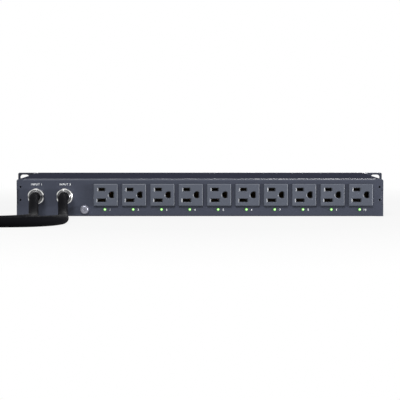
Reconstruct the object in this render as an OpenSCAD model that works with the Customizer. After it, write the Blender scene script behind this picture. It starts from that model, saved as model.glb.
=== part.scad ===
// Rack static transfer switch, one rack unit high: two mains inputs, ten 5-15R outlets.
// Millimetres. +X to the right seen from the outlet side, +Z up, outlet side facing -Y.
// The origin is the centre of the flat underside of the chassis.

/* [Chassis] */
// Width of the chassis, over the cover
body_w = 432; // [429:0.5:440]
// Depth of the chassis, outlet wall to front wall
body_d = 240; // [230:1:300]
// Height of the chassis
body_h = 43.7; // [43.2:0.1:44.4]
// Thickness of the folded steel sheet
sheet_t = 1.2; // [1:0.1:1.4]
// Outer bend radius of the tray's walls and rims
tray_bend_r = 1.8; // [1.6:0.1:2.2]
// Outer bend radius of the cover's two long edges
cover_bend_r = 2.5; // [2.2:0.1:3]
// Height of the tray's side flanges
side_flange_h = 14; // [12.5:0.5:16]
// Depth of the rims under the cover
rim_d = 10; // [6:0.5:14]
// Width of the flat tab at each end of the outlet wall
tab_w = 8.5; // [8:0.1:9.5]

/* [Cover] */
// Height of the tongue that curls through each end tab
tongue_h = 16; // [12:0.5:20]
// Outer radius of the curled tongue
tongue_r = 2.2; // [1.8:0.1:2.4]
// Number of vent slots in each side
vent_count = 12; // [4:1:14]
// Spacing of the vent slots
vent_pitch = 7; // [6:0.5:8]
// Width of one vent slot
vent_w = 2.5; // [2:0.1:3.2]
// Height of one vent slot
vent_h = 20; // [12:0.5:21]

/* [Rack ears] */
// Width over both rack ears
rack_w = 482.6; // [481:0.1:484]
// Thickness of an ear
ear_t = 2; // [1.8:0.1:2.5]
// Length of the leg that lies on the chassis side
ear_leg = 42; // [36:1:60]
// Radius of the ear's outer corners
ear_corner_r = 2; // [1:0.5:4]
// Centre distance of the rack slots across the rack
rack_pitch_x = 465.1; // [464:0.1:466]
// Centre distance of the rack slots up the rack
rack_pitch_z = 31.75; // [31:0.05:32.2]
// Length of a rack slot
rack_slot_l = 11.5; // [9:0.1:12.5]
// Height of a rack slot
rack_slot_h = 6.8; // [6:0.1:7.2]

/* [Outlets] */
// Width of an outlet's face block
outlet_w = 28.5; // [28:0.1:29.5]
// Height of an outlet's face block
outlet_h = 26; // [25.5:0.1:27]
// How far the face block stands out of the wall
outlet_proud = 3; // [2:0.1:4]
// Chassis side to the centre of the first outlet
outlet_start = 104.86; // [104:0.02:106]
// Chassis side to the centre of the last outlet
outlet_margin = 26.9; // [26.5:0.1:27.5]
// Height of the outlet centres
outlet_z = 25.2; // [24.8:0.1:25.6]
// Depth of the outlet body behind the wall's outer face
outlet_depth = 22; // [19:0.5:25]
// Rounding of the face block's corners
outlet_corner_r = 1.6; // [1:0.1:2.2]
// Rounding of the face block's front edges
outlet_edge_r = 0.9; // [0.5:0.1:1.2]
// Distance between the two blade slots
blade_pitch = 12.7; // [12.5:0.1:12.9]
// Length of the line slot
line_slot_l = 7.1; // [6.8:0.1:7.4]
// Length of the neutral slot
neutral_slot_l = 9.1; // [8.4:0.1:9.4]
// Height of the slots at their mouth
slot_mouth = 3.8; // [3:0.1:4]
// Height of the slots inside
slot_throat = 2.4; // [2:0.1:2.8]
// Height of the ground hole
ground_hole_h = 7.1; // [6.6:0.1:7.4]
// Width of the ground hole
ground_hole_w = 5.6; // [5.2:0.1:6]

/* [Mains inputs] */
// Chassis side to the centre of the first gland
gland_margin = 23.6; // [22.5:0.1:25]
// Spacing of the two glands
gland_pitch = 33.6; // [30:0.1:35]
// Height of the glands
gland_z = 23.5; // [22:0.1:25]
// Width across the flats of the gland nuts
gland_af = 18; // [17.6:0.1:19]
// Diameter of the gland's thread
gland_thread_d = 15.2; // [15:0.1:16]
// Diameter of the mains cords
cord_d = 11.2; // [10.8:0.1:11.4]

/* [Ground terminal] */
// Chassis side to the ground screw
ground_margin = 80; // [76:0.5:81.5]
// Height of the ground screw
ground_z = 8; // [7.5:0.1:9]
// Diameter of its head
ground_head_d = 9.3; // [8:0.1:9.5]

/* [Front] */
// Thickness of the moulded front panel
panel_t = 3; // [2.5:0.1:4]
// Width of the display window
window_w = 77; // [70:0.5:82]
// Height of the display window
window_h = 24; // [20:0.5:26]
// Centre of the display window
window_x = 125; // [118:1:135]
// Width of a key cap
key_w = 8; // [6:0.1:8.5]
// Height of a key cap
key_h = 4.5; // [4:0.1:6]
// Spacing of the keys
key_pitch = 13; // [12.5:0.1:14]
// Travel of a key
key_travel = 0.8; // [0.4:0.1:1]
// How far a key stands out of the panel
key_proud = 1.4; // [1.2:0.1:2]
// Width of the network jack
network_jack_w = 16; // [15:0.1:17]
// Width of the sensor jack
sensor_jack_w = 13.4; // [13:0.1:15]
// Height of both jacks
jack_h = 13.5; // [12.5:0.1:15]
// Diameter of the light pipes
pipe_d = 3; // [2:0.1:4]

/* [Inside] */
// Width of one solid-state switch module
module_w = 45; // [40:0.5:46]
// Depth of one solid-state switch module
module_d = 58; // [50:0.5:62]
// Height of one solid-state switch module
module_h = 23; // [20:0.5:24]
// Thickness of the heatsink's base
heatsink_base = 5; // [4:0.5:6]
// Depth of the heatsink
heatsink_d = 100; // [90:1:110]
// Thickness of the circuit boards
board_t = 1.6; // [1.2:0.1:2]
// Height of the control board's standoffs
standoff_h = 8; // [6:0.5:9]
// Diameter of the insulated wires
wire_d = 3.2; // [2.6:0.1:3.6]

/* [Hidden] */
$fn = 48;
OUTLETS = 10;
KEYS = 4;
fit = 0.1;      // flat clearance round what sits in a cut-out
gap = 0.3;      // running clearance
over = 1;       // how far a cut runs past a face

rear = -body_d / 2;
front = body_d / 2;
side = body_w / 2;
rear_in = rear + sheet_t;
front_in = front - sheet_t;
lid_in = body_h - sheet_t;
cover_in = side - sheet_t;
tray_side = cover_in - gap;
tab_x = side - tab_w;
tab_hole_d = 2.4;
tab_hole_x = side - 4.5;
tab_hole_z = [19.2, 34.5];
tongue_rise = 0.55;         // the tongue's middle sits this far above mid-height
relief_d = 1.6;             // round reliefs in the corners of the tongue's notch
lip_d = 6;                  // the cover's joggled lip reaches this far under the tray's rim
lip_x = tab_x - 6;
cover_lift = 0.5;           // the cover's side walls stop this far above the underside
cover_screw_y = [rear + 20, rear + 110, front - 54];
cover_screw_z = 8;
ear_screw_y = [front - ear_leg + 10, front - 13];
ear_screw_z = [9, 34];

outlet_pitch = (body_w - outlet_start - outlet_margin) / (OUTLETS - 1);
function outlet_x(i) = side - outlet_margin - (OUTLETS - i) * outlet_pitch;
outlet_back = rear + outlet_depth;
slot_dx = -4.8;             // blade slots, from the outlet's centre
ground_dx = 7.3;            // ground hole, from the outlet's centre
outlet_lip = 1;             // overlap of the face block on the wall
outlet_body_w = outlet_w - 2 * outlet_lip;
outlet_body_h = outlet_h - 2 * outlet_lip;

contact_t = 0.8;
contact_w = 6;
contact_base = outlet_depth - 1.4;
line_pocket_h = 6;
ground_pocket_h = 8.4;
pocket_front = 9.5;         // contact pockets start this far behind the wall's outer face
tab_out = 8;                // contact tabs behind the outlet
bus_t = 1;
bus_w = 6;
bus_front = outlet_back + tab_out;
line_bus_z = outlet_z + blade_pitch / 2 + contact_t / 2;
neutral_bus_z = outlet_z - blade_pitch / 2 - contact_t / 2 - bus_t;
ground_bus_z = outlet_z + contact_t / 2;
ground_bus_x0 = outlet_x(1) - 22;

led_d = 3;
led_dx = -1;
led_z = 7.9;
led_board_y = rear_in + 3.8;
led_board_z = [3.2, 12.4];

gland_x = [-side + gland_margin, -side + gland_margin + gland_pitch];
gland_flange = 4;
gland_nut_l = 8;
gland_dome_l = 5;
gland_mouth = rear - gland_flange - gland_nut_l - gland_dome_l;
gland_bore_d = cord_d + 1.2;
gland_nose_wall = 1.5;      // wall of the nut's domed nose round the cord
gland_turned = 0.55;        // the hexagons' corners are turned to this far outside their flats
tail_end = rear + 16;

ground_x = -side + ground_margin;
washer_t = 0.9;

wiring_d = 65;              // room for the wiring behind the outlet wall
heatsink_side = 11;         // chassis side to the heatsink
heatsink_w = 120;
heatsink_x = [-side + heatsink_side, -side + heatsink_side + heatsink_w];
heatsink_y = rear + wiring_d;
heatsink_top = sheet_t + heatsink_base;
module_x = [heatsink_x[0] + 33, heatsink_x[1] - 33];
module_y = heatsink_y + 10;
module_top = heatsink_top + module_h;
recess_l = 12;              // recessed terminals at both ends of a module
recess_h = 6;
terminal_z = module_top - recess_h;
terminal_dx = module_w / 4 - 1.25;
link_t = 1.5;
link_w = 5;
link_y = [module_y + module_d - recess_l + 0.6, module_y + module_d - recess_l + 6.4];
link_z = [module_top, module_top + 4];
output_wire_x = [heatsink_x[1] + 5, heatsink_x[1] + 13];

supply_side = 16;           // chassis side to the power supply's board
supply_w = 95;
supply_d = 90;
supply_x = [side - supply_side - supply_w, side - supply_side];
supply_y = [rear + wiring_d, rear + wiring_d + supply_d];
board_gap = [15, 10];       // control board to the heatsink, and to the power supply
board_front = 16;           // front wall to the control board
board_d = 164;
board_x = [heatsink_x[1] + board_gap[0], supply_x[0] - board_gap[1]];
board_y = [front - board_front - board_d, front - board_front];
board_z = sheet_t + standoff_h;
board_top = board_z + board_t;
function corners(x, y, inset) = [for (i = [0, 1], j = [0, 1])
    [x[i] + (1 - 2 * i) * inset, y[j] + (1 - 2 * j) * inset]];

key_board_y = front - 12;
key_board_face = key_board_y + board_t;
key_board_z = [14, 39];
key_z = 24;
key_x = [for (i = [0 : KEYS - 1]) 72 - i * key_pitch];
key_flange = 1;
key_flange_t = 0.8;
key_stem = 3;
key_tip_y = key_board_face + 2.75;
pipe_x = [for (i = [0 : KEYS - 1]) 16 - 8 * i];
network_jack_x = -36;
sensor_jack_x = -58;
jack_d = 21;
window_t = 1.4;
window_lip = 3.5;
panel_face = front + panel_t;

// The mains cords lie on the surface that the unit stands on, each coiled beside it.
cord_r = cord_d / 2;
tie_t = 1;
coil_r = [42.3, 87.1];
coil_h = 2 * 11.2;
coil_a = [-361.5, 115];
coil_b = [-386.5, -70];
plug_a_at = [-408, 201, 13];
plug_b_at = [-472.5, -117, 13];
plug_relief = 26;
plug_grip = 22;
plug_head = 14;
plug_half = 13;
route_a = [
    [-192.4, -137, 23.5], [-192.4, -146, 23.5], [-191.8, -158, 21.7], [-190.6, -171, 17.2],
    [-189.4, -184, 11.8], [-188.2, -196, 7.8], [-187.0, -209, 5.9], [-185.6, -224, 5.6],
    [-183.3, -240, 5.6], [-181.2, -254, 5.6], [-182.5, -270, 5.6], [-191, -284, 5.6],
    [-204, -294.5, 5.6], [-220, -300, 5.6], [-238, -299, 5.6], [-255, -292, 5.6],
    [-268, -279, 5.6], [-276, -262, 5.6], [-279, -242, 5.6], [-280, -215, 5.6],
    [-280, -185, 5.8], [-280, -150, 6.2], [-280, -115, 6.6], [-280, -80, 6.6],
    [-280, -45, 6.6], [-280, -10, 6.6], [-280, 25, 6.6], [-280, 55, 6.6],
    [-280, 85, 6.6], [-280, 115, 6.6]];
route_b = [
    [-158.8, -137, 23.5], [-158.8, -146, 23.5], [-158.2, -158, 21.7], [-157.1, -171, 17.2],
    [-155.9, -184, 11.8], [-154.8, -196, 7.8], [-153.7, -209, 5.9], [-152.4, -224, 5.6],
    [-150.6, -240, 5.6], [-149.2, -256, 5.6], [-150.5, -274, 5.6], [-157, -291, 5.6],
    [-168, -305, 5.6], [-183, -314.5, 5.6], [-201, -319, 5.6], [-221, -320, 5.6],
    [-243, -319, 5.6], [-264, -313, 5.6], [-283, -301, 5.6], [-296, -284, 5.6],
    [-303, -264, 5.6], [-305, -240, 5.6], [-305, -210, 5.6], [-305, -175, 5.8],
    [-305, -140, 6.2], [-305, -105, 6.6], [-305, -70, 6.6]];
tail_a = [
    [-361.5, 196.5, 17.8], [-371, 196.8, 17.6], [-380, 198.2, 16.4], [-389, 200.2, 14.4],
    [-398, 201, 13], [-408, 201, 13]];
tail_b = [
    [-468, -70, 17.8], [-468.3, -80, 17.6], [-469.7, -89, 16.4], [-471.7, -98, 14.4],
    [-472.5, -107, 13], [-472.5, -117, 13]];

// ---- Shapes that repeat ----

// A block between two corners, given as [low, high] along each axis.
module block(x, y, z) {
    translate([x[0], y[0], z[0]])
        cube([x[1] - x[0], y[1] - y[0], z[1] - z[0]]);
}

// What follows, drawn in X and Z, made solid from y[0] to y[1].
module along_y(y) {
    rotate([90, 0, 0])
        translate([0, 0, -y[1]])
            linear_extrude(y[1] - y[0])
                children();
}

// What follows, drawn in Y and Z, made solid from x[0] to x[1].
module along_x(x) {
    translate([x[0], 0, 0])
        rotate([90, 0, 90])
            linear_extrude(x[1] - x[0])
                children();
}

module rod_y(d, x, z, y) {
    along_y(y)
        translate([x, z])
            circle(d = d);
}

module rod_x(d, y, z, x) {
    along_x(x)
        translate([y, z])
            circle(d = d);
}

// A turned shape about a line along Y: the profile's second coordinate runs towards -Y.
module turned_y(x, z, y) {
    translate([x, y, z])
        rotate([90, 0, 0])
            rotate_extrude()
                children();
}

module rounded_rect(w, h, r) {
    square([w, h - 2 * r], center = true);
    square([w - 2 * r, h], center = true);
    for (sx = [-1, 1], sz = [-1, 1])
        translate([sx * (w / 2 - r), sz * (h / 2 - r)])
            circle(r);
}

// A quarter of a bent sheet's section, its bend centre at the origin.
module bend(r, t, quadrant) {
    intersection() {
        difference() {
            circle(r);
            circle(r - t);
        }
        rotate(quadrant * 90)
            square(r + over);
    }
}

module mirrored_x() {
    children();
    mirror([1, 0, 0])
        children();
}

// A tube swept along a route that never runs straight up.
function unit(v) = v / norm(v);
function heading(p, i) = unit(p[min(i + 1, len(p) - 1)] - p[max(i - 1, 0)]);
function sideways(p, i) = unit(cross(heading(p, i), [0, 0, 1]));
function ring(p, i, r, n) = [
    for (k = [0 : n - 1])
        p[i] + r * (cos(360 * k / n) * sideways(p, i)
            + sin(360 * k / n) * cross(sideways(p, i), heading(p, i)))];
module tube(p, d, n = 8) {
    last = len(p) - 1;
    polyhedron(
        points = [for (i = [0 : last]) each ring(p, i, d / 2, n)],
        faces = concat(
            [[for (k = [0 : n - 1]) k]],
            [for (i = [0 : last - 1], k = [0 : n - 1])
                [i * n + k, (i + 1) * n + k, (i + 1) * n + (k + 1) % n]],
            [for (i = [0 : last - 1], k = [0 : n - 1])
                [i * n + k, (i + 1) * n + (k + 1) % n, i * n + (k + 1) % n]],
            [[for (k = [n - 1 : -1 : 0]) last * n + k]]));
}

// ---- Folded steel tray ----

// Section of an end wall with its bottom bend, top bend and rim; the wall's outer face is y = 0.
module wall_section(top) {
    r = tray_bend_r;
    translate([0, r])
        square([sheet_t, top - 2 * r]);
    translate([r, r])
        bend(r, sheet_t, 2);
    translate([r, top - r])
        bend(r, sheet_t, 1);
    translate([r, top - sheet_t])
        square([rim_d - r, sheet_t]);
    translate([r, 0])
        square([rim_d - r, sheet_t]);
}

module side_section() {
    r = tray_bend_r;
    translate([tray_side - r, r])
        bend(r, sheet_t, 3);
    translate([tray_side - sheet_t, r])
        square([sheet_t, side_flange_h - r]);
}

// The flat tab at one end of the outlet wall, with the notch for the cover's tongue.
module end_tab_outline() {
    r = cover_bend_r;
    notch_z = body_h / 2 - tongue_h / 2 + tongue_rise;
    difference() {
        union() {
            translate([tab_x - over, tray_bend_r])
                square([over, body_h - 2 * tray_bend_r]);
            translate([tab_x, 0])
                square([tab_w - r, body_h]);
            translate([tab_x, 0])
                square([tab_w, body_h - r]);
            translate([side - r, body_h - r])
                circle(r);
        }
        translate([side - tongue_r, notch_z])
            square([tongue_r + over, tongue_h]);
        for (z = [notch_z, notch_z + tongue_h])
            translate([side - tongue_r + relief_d / 2, z])
                circle(d = relief_d);
    }
}

module rear_cuts() {
    cut = [rear - over, rear_in + over];
    for (i = [1 : OUTLETS]) {
        along_y(cut)
            translate([outlet_x(i), outlet_z])
                square([outlet_body_w + 2 * fit, outlet_body_h + 2 * fit], center = true);
        rod_y(led_d + 2 * fit, outlet_x(i) + led_dx, led_z, cut);
    }
    for (x = gland_x)
        rod_y(gland_thread_d + 2 * fit, x, gland_z, cut);
    rod_y(5, ground_x, ground_z, cut);
    for (sx = [-1, 1], z = tab_hole_z)
        rod_y(tab_hole_d, sx * tab_hole_x, z, cut);
}

module front_cuts() {
    cut = [front_in - over, front + over];
    along_y(cut)
        translate([window_x, key_z - 1])
            square([window_w - 2, window_h], center = true);
    for (x = key_x)
        along_y(cut)
            translate([x, key_z])
                square([key_w + 2 * key_flange + 1, key_h + 2 * key_flange + 1], center = true);
    for (x = pipe_x)
        rod_y(pipe_d + 2 * fit, x, key_z, cut);
    jack_outline(cut);
}

// The two jacks' cut-outs through the front wall and the front panel.
module jack_outline(y) {
    for (j = [[network_jack_x, network_jack_w], [sensor_jack_x, sensor_jack_w]])
        along_y(y)
            translate([j[0], board_top + jack_h / 2])
                square([j[1] + 2 * fit, jack_h + 2 * fit], center = true);
}

module side_screw_holes(x) {
    for (y = cover_screw_y)
        rod_x(3.2, y, cover_screw_z, x);
    for (y = ear_screw_y, z = ear_screw_z)
        rod_x(4.2, y, z, x);
}

module base_tray() {
    r = tray_bend_r;
    relief = 1;
    color("#33353c")
    difference() {
        union() {
            along_x([-tab_x, tab_x]) {
                translate([rear, 0])
                    wall_section(body_h);
                translate([front, 0])
                    mirror([1, 0])
                        wall_section(lid_in);
            }
            block([-tab_x, tab_x], [rear + r, front - r], [0, sheet_t]);
            block([-tray_side + r, tray_side - r], [rear_in + relief, front_in - relief], [0, sheet_t]);
            mirrored_x() {
                along_y([rear_in + relief, front_in - relief])
                    side_section();
                along_y([rear, rear_in])
                    end_tab_outline();
            }
        }
        rear_cuts();
        front_cuts();
        mirrored_x()
            side_screw_holes([tray_side - sheet_t - over, tray_side + over]);
    }
}

// ---- Folded steel cover ----
// Its edge at the outlet wall is joggled down and tucks under the tray's rim.

module cover_section() {
    r = cover_bend_r;
    translate([-side + r, lid_in])
        square([body_w - 2 * r, sheet_t]);
    mirrored_x() {
        translate([side - r, body_h - r])
            bend(r, sheet_t, 0);
        translate([cover_in, cover_lift])
            square([sheet_t, body_h - r - cover_lift]);
    }
}

module tongue() {
    z = body_h / 2 - tongue_h / 2 + tongue_rise + fit;
    translate([side - tongue_r, rear + tongue_r, z])
        linear_extrude(tongue_h - 2 * fit)
            union() {
                bend(tongue_r, sheet_t, 3);
                translate([tongue_r - sheet_t, 0])
                    square([sheet_t, sheet_t + over]);
            }
}

module vents() {
    first = rear + 40;
    for (i = [0 : vent_count - 1])
        along_x([cover_in - over, side + over])
            translate([first + i * vent_pitch, side_flange_h + 4 + vent_h / 2])
                rounded_rect(vent_w, vent_h, vent_w / 2 - 0.01);
}

module top_cover() {
    seam = rear + rim_d + gap;
    lip_z = lid_in - gap - sheet_t;
    color("#3a3c44")
    difference() {
        union() {
            difference() {
                along_y([rear_in, front])
                    cover_section();
                block([-tab_x - fit, tab_x + fit], [rear, seam], [lip_z, body_h + over]);
            }
            block([-lip_x, lip_x], [seam, seam + sheet_t], [lip_z, body_h]);
            block([-lip_x, lip_x], [seam - lip_d, seam + sheet_t], [lip_z, lip_z + sheet_t]);
            mirrored_x()
                tongue();
        }
        mirrored_x() {
            vents();
            side_screw_holes([cover_in - over, side + over]);
        }
    }
}

module cover_screws() {
    head_d = 5.6;
    head_t = 1.7;
    color("#1d1e21")
    for (s = [0, 1], y = cover_screw_y)
        mirror([s, 0, 0])
            translate([side, y, cover_screw_z])
                rotate([0, 90, 0])
                    difference() {
                        union() {
                            rotate_extrude() {
                                square([head_d / 2 - 0.6, head_t]);
                                square([head_d / 2, head_t - 0.6]);
                                translate([head_d / 2 - 0.6, head_t - 0.6])
                                    circle(0.6);
                            }
                            translate([0, 0, -5])
                                cylinder(d = 3, h = 5 + over / 2);
                        }
                        translate([0, 0, head_t])
                            cross_recess(2.6, 0.7, 1);
                    }
}

// A cross recess cut down from z = 0.
module cross_recess(l, w, deep) {
    for (a = [0, 90])
        rotate(a)
            translate([-l / 2, -w / 2, -deep])
                cube([l, w, deep + over]);
}

// ---- Rack ears ----

module ear() {
    bend_r = ear_t + 0.6;
    flange = [side + bend_r, rack_w / 2];
    difference() {
        union() {
            block([side, side + ear_t], [front - ear_leg, front - bend_r], [0, body_h]);
            translate([side + bend_r, front - bend_r, 0])
                linear_extrude(body_h)
                    bend(bend_r, ear_t, 1);
            along_y([front - ear_t, front])
                intersection() {
                    translate([flange[0], 0])
                        square([flange[1] - flange[0], body_h]);
                    translate([flange[1] - 20, body_h / 2])
                        rounded_rect(40, body_h, ear_corner_r);
                }
            along_y([front - ear_t, front])
                translate([flange[0], 0])
                    square([flange[1] - 21 - flange[0] + 20 - ear_corner_r, body_h]);
        }
        for (z = [-1, 1])
            along_y([front - ear_t - over, front + over])
                translate([rack_pitch_x / 2, body_h / 2 + z * rack_pitch_z / 2])
                    rounded_rect(rack_slot_l, rack_slot_h, rack_slot_h / 2 - 0.01);
        for (y = ear_screw_y, z = ear_screw_z)
            translate([side, y, z])
                rotate([0, 90, 0])
                    countersink(4.4, 8.2);
    }
}

// A countersunk hole through an ear's leg, from the chassis side at z = 0 outwards.
module countersink(d, head_d) {
    translate([0, 0, -over])
        cylinder(d = d, h = ear_t + 2 * over);
    translate([0, 0, ear_t - (head_d - d) / 2])
        cylinder(d1 = d, d2 = head_d, h = (head_d - d) / 2);
    translate([0, 0, ear_t])
        cylinder(d = head_d, h = over);
}

module rack_ear_left() {
    color("#2a2b30")
        mirror([1, 0, 0])
            ear();
}

module rack_ear_right() {
    color("#2a2b30")
        ear();
}

module ear_screws() {
    head_d = 8;
    shank_d = 4;
    cone = (head_d - shank_d) / 2;
    color("#1d1e21")
    for (s = [0, 1], y = ear_screw_y, z = ear_screw_z)
        mirror([s, 0, 0])
            translate([side + ear_t, y, z])
                rotate([0, 90, 0])
                    difference() {
                        union() {
                            translate([0, 0, -cone])
                                cylinder(d1 = shank_d, d2 = head_d, h = cone);
                            translate([0, 0, -7])
                                cylinder(d = shank_d, h = 7 - cone + 0.1);
                        }
                        cross_recess(4, 1, 1.2);
                    }
}

// ---- Front panel, display, keys, jacks ----

module front_panel() {
    edge_r = 0.8;
    color("#26272b")
    difference() {
        translate([0, front, body_h / 2])
            rotate([0, 0, 180])
                crowned_block(body_w, body_h, panel_t, 1.5, edge_r);
        along_y([panel_face - window_t - fit, panel_face + over])
            translate([window_x, key_z - 1])
                rounded_rect(window_w + 2 * fit, window_h + 2 * fit, 1.5);
        along_y([front - over, panel_face])
            translate([window_x, key_z - 1])
                square([window_w - 2 * window_lip, window_h - 2 * window_lip], center = true);
        for (x = key_x)
            along_y([front - over, panel_face + over])
                translate([x, key_z])
                    rounded_rect(key_w + 2 * gap, key_h + 2 * gap, 1.2 + gap);
        for (x = pipe_x)
            rod_y(pipe_d + 2 * fit, x, key_z, [front - over, panel_face + over]);
        jack_outline([front - over, panel_face + over]);
    }
}

// A flat block, back face at y = 0 and front face at y = -t, with rounded corners and front edges.
module crowned_block(w, h, t, corner_r, edge_r) {
    intersection() {
        along_y([-t, 0])
            rounded_rect(w, h, corner_r);
        linear_extrude(h + 2 * over, center = true)
            crowned_profile(w, t, edge_r);
        rotate([0, 90, 0])
            linear_extrude(w + 2 * over, center = true)
                crowned_profile(h, t, edge_r);
    }
}

module crowned_profile(w, t, r) {
    translate([-w / 2, -t + r])
        square([w, t - r]);
    translate([-w / 2 + r, -t])
        square([w - 2 * r, t]);
    for (s = [-1, 1])
        translate([s * (w / 2 - r), -t + r])
            circle(r);
}

module display_window() {
    color("#15181c")
        along_y([panel_face - window_t - fit, panel_face - fit])
            translate([window_x, key_z - 1])
                rounded_rect(window_w, window_h, 1.4);
}

module display_module() {
    color("#20282a")
    difference() {
        block([window_x - window_w / 2 + 1 + fit, window_x + window_w / 2 - 1 - fit],
            [key_board_face, front],
            [key_z - 1 - window_h / 2 + fit, key_z - 1 + window_h / 2 - fit]);
        along_y([front - 0.6, front + over])
            translate([window_x, key_z - 1])
                square([window_w - 12, window_h - 10], center = true);
    }
}

module key(i) {
    color("#55585f")
    translate([key_x[i - 1], 0, key_z]) {
        translate([0, front, 0])
            rotate([0, 0, 180])
                crowned_block(key_w, key_h, panel_t + key_proud, 1.2, 0.5);
        along_y([front - key_flange_t, front])
            square([key_w + 2 * key_flange, key_h + 2 * key_flange], center = true);
        along_y([key_tip_y, front - key_flange_t])
            square([key_stem, key_stem], center = true);
    }
}

module key_switches() {
    color("#17181a")
    for (x = key_x)
        difference() {
            block([x - 3, x + 3], [key_board_face, key_board_face + 4.4], [key_z - 3, key_z + 3]);
            along_y([key_tip_y - key_travel - gap, key_board_face + 4.4 + over])
                translate([x, key_z])
                    square([key_stem + 2 * gap, key_stem + 2 * gap], center = true);
        }
}

module key_board() {
    color("#1f5a3a")
        block([pipe_x[KEYS - 1] - 8, window_x + window_w / 2 + 6],
            [key_board_y, key_board_face], key_board_z);
}

module light_pipes() {
    color("#cfe3d2")
    for (x = pipe_x)
        turned_y(x, key_z, key_board_face)
            mirror([0, 1])
                union() {
                    square([pipe_d / 2, panel_face - key_board_face]);
                    square([pipe_d / 2 + 0.8, 1.5]);
                }
}

// A shielded modular jack with its mouth flush with the panel and a latch groove on top.
module jack(x, w, mouth_w, mouth_h) {
    z0 = board_top;
    mouth_z = z0 + 2.2;
    difference() {
        block([x - w / 2, x + w / 2], [panel_face - jack_d, panel_face], [z0, z0 + jack_h]);
        block([x - mouth_w / 2, x + mouth_w / 2], [panel_face - 13.5, panel_face + over],
            [mouth_z, mouth_z + mouth_h]);
        block([x - 3, x + 3], [panel_face - 9, panel_face + over],
            [mouth_z + mouth_h - 0.5, mouth_z + mouth_h + 1.4]);
    }
}

module network_jack() {
    color("#b9bcc0")
        jack(network_jack_x, network_jack_w, 11.8, 7.6);
}

module sensor_jack() {
    color("#b9bcc0")
        jack(sensor_jack_x, sensor_jack_w, 9.8, 7.6);
}

// ---- Outlets ----

// A rectangular cut whose mouth flares by flare_x and flare_z over its first stretch inwards.
module flared_cut(w, h, flare_x, flare_z, deep) {
    intersection() {
        linear_extrude(h + 2 * flare_z, center = true)
            flare_profile(w, flare_x, deep);
        rotate([0, -90, 0])
            linear_extrude(w + 2 * flare_x, center = true)
                flare_profile(h, flare_z, deep);
    }
}

module flare_profile(w, flare, deep) {
    polygon([
        [-w / 2 - flare, -over], [w / 2 + flare, -over], [w / 2 + flare, 0],
        [w / 2, deep], [-w / 2, deep], [-w / 2 - flare, 0]]);
}

// A blade slot: flared mouth, tall first stretch, narrower throat, open into its contact pocket.
module blade_slot(l) {
    face = -outlet_proud;
    translate([0, face, 0])
        flared_cut(l, slot_mouth, 1.5, 0.4, 1.2);
    along_y([face + 1, face + 5])
        square([l, slot_mouth], center = true);
    along_y([face + 4, pocket_front + over])
        square([l, slot_throat], center = true);
}

module ground_outline(grow) {
    r = ground_hole_h / 2 + grow;
    flat = ground_hole_w - ground_hole_h / 2 + grow;
    intersection() {
        circle(r);
        translate([-r - over, -r - over])
            square([r + over + flat, 2 * r + 2 * over]);
    }
}

module ground_slot() {
    face = -outlet_proud;
    flare = 1.2;
    r = ground_hole_h / 2;
    flat = ground_hole_w - r;
    intersection() {
        translate([0, face, 0])
            rotate([-90, 0, 0])
                union() {
                    cylinder(r1 = r + flare, r2 = r, h = flare);
                    translate([0, 0, -over])
                        cylinder(r = r + flare, h = over);
                }
        linear_extrude(2 * (r + flare + over), center = true)
            polygon([
                [-r - flare - over, face - over], [flat + flare, face - over],
                [flat + flare, face], [flat, face + flare], [-r - flare - over, face + flare]]);
    }
    along_y([face, pocket_front + over])
        ground_outline(0);
}

// Snap barb on the side of the outlet body: its flat face holds the back of the wall.
module barb() {
    catch = sheet_t;
    linear_extrude(10, center = true)
        polygon([
            [outlet_body_w / 2 - over, catch], [outlet_body_w / 2 + 0.9, catch],
            [outlet_body_w / 2, catch + 6], [outlet_body_w / 2 - over, catch + 6]]);
}

module outlet(i) {
    color("#45474f")
    translate([outlet_x(i), rear, outlet_z])
        difference() {
            union() {
                crowned_block(outlet_w, outlet_h, outlet_proud, outlet_corner_r, outlet_edge_r);
                along_y([-over / 2, outlet_depth])
                    square([outlet_body_w, outlet_body_h], center = true);
                mirrored_x()
                    barb();
            }
            for (s = [[1, line_slot_l], [-1, neutral_slot_l]])
                translate([slot_dx, 0, s[0] * blade_pitch / 2]) {
                    blade_slot(s[1]);
                    along_y([pocket_front, outlet_depth + over])
                        square([contact_w + 2 * gap, line_pocket_h], center = true);
                }
            translate([ground_dx, 0, 0]) {
                ground_slot();
                along_y([pocket_front, outlet_depth + over])
                    square([contact_w + 2 * gap, ground_pocket_h], center = true);
            }
        }
}

// A folded brass contact: base across the pocket, two spring leaves forward, one tab back.
module contact(opening, pocket_h) {
    half = contact_w / 2;
    block([-half, half], [contact_base, contact_base + contact_t], [-pocket_h / 2, pocket_h / 2]);
    for (s = [0, 1])
        mirror([0, 0, s])
            block([-half, half], [pocket_front + 0.5, contact_base + contact_t],
                [opening / 2, opening / 2 + contact_t]);
    block([-half, half], [contact_base, outlet_depth + tab_out], [-contact_t / 2, contact_t / 2]);
}

module contacts(dx, dz, opening, pocket_h) {
    color("#b8963e")
    for (i = [1 : OUTLETS])
        translate([outlet_x(i) + dx, rear, outlet_z + dz])
            contact(opening, pocket_h);
}

module line_contacts() {
    contacts(slot_dx, blade_pitch / 2, 1.4, line_pocket_h);
}

module neutral_contacts() {
    contacts(slot_dx, -blade_pitch / 2, 1.4, line_pocket_h);
}

module ground_contacts() {
    contacts(ground_dx, 0, 5, ground_pocket_h);
}

// A bus bar lying flat on the ten tabs of one pole.
module bus(x0, dx, z0) {
    color("#b06a3c")
        block([x0, outlet_x(OUTLETS) + dx + contact_w / 2], [bus_front - bus_w, bus_front],
            [z0, z0 + bus_t]);
}

module line_bus() {
    bus(outlet_x(1) + slot_dx - contact_w / 2, slot_dx, line_bus_z);
}

module neutral_bus() {
    bus(outlet_x(1) + slot_dx - contact_w / 2, slot_dx, neutral_bus_z);
}

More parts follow.
